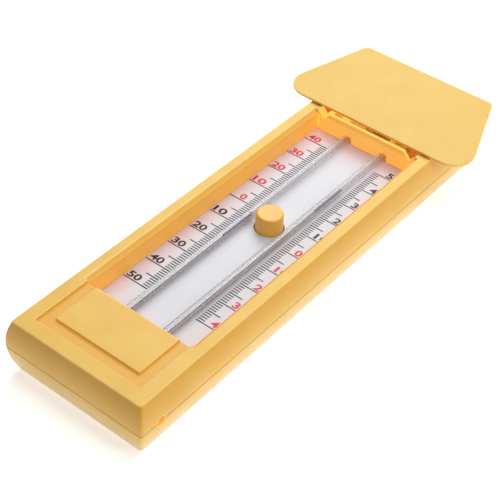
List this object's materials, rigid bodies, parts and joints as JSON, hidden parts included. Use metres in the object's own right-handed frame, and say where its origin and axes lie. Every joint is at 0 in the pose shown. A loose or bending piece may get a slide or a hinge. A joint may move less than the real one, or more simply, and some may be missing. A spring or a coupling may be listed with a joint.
{
  "type": "maximum minimum thermometer",
  "caption": "Maximum minimum thermometer with a U-shaped glass tube on a printed scale in a long moulded case, a push-button index reset and a folding rain hood over the bulbs.",
  "frame": {"origin": "middle of the back face, in the plane the thermometer lies on", "axes": "+X to the right of the scale, +Y up the scale towards the rain hood, +Z out of the face"},
  "size_m": [0.0974, 0.2423, 0.0322],
  "materials": {
    "yellow_abs": "fine moulded texture",
    "white_styrene": "printed matt white",
    "clear_glass": "clear drawn glass",
    "clear_spirit": "clear liquid",
    "thread_liquid": "opaque liquid thread",
    "blue_index": "dark blue coating on steel",
    "grey_plastic": "moulded",
    "ferrite_rubber": "flexible magnet strip",
    "zinc_steel": "zinc plated",
    "grey_foam": "soft foam"
  },
  "bodies": {
    "case": {"front_case": "yellow_abs", "back_case": "yellow_abs", "carrier_plate": "white_styrene", "scale_card": "white_styrene", "glass_tube": "clear_glass", "bulb_min": "clear_glass", "bulb_max": "clear_glass", "bulb_fill_min": "clear_spirit", "bulb_fill_max": "clear_spirit", "thread_column": "thread_liquid", "bend_clip": "grey_plastic", "bulb_cushion": "grey_foam", "return_spring": "zinc_steel", "case_screw_1": "zinc_steel", "case_screw_2": "zinc_steel", "case_screw_3": "zinc_steel", "case_screw_4": "zinc_steel"},
    "hood": {"rain_hood": "yellow_abs"},
    "reset": {"push_button": "yellow_abs", "button_ring": "zinc_steel", "magnet_carrier": "grey_plastic", "magnet_min": "ferrite_rubber", "magnet_max": "ferrite_rubber"},
    "minimum_index": {"index_min": "blue_index"},
    "maximum_index": {"index_max": "blue_index"}
  },
  "joints": [
    {"name": "hood_hinge", "type": "hinge", "parent": "case", "child": "hood", "pos_m": [0, 0.1145, 0.0251], "axis": [-1, 0, 0], "range_deg": [0, 90]},
    {"name": "reset_press", "type": "slide", "parent": "case", "child": "reset", "axis": [0, 0, -1], "range_m": [0, 0.0032], "stiffness_N_per_m": 800, "springref_m": -0.0015, "deforming": ["return_spring"]},
    {"name": "index_min_slide", "type": "slide", "parent": "case", "child": "minimum_index", "axis": [0, 1, 0], "range_m": [0, 0.045]},
    {"name": "index_max_slide", "type": "slide", "parent": "case", "child": "maximum_index", "axis": [0, 1, 0], "range_m": [0, 0.025]}
  ]
}
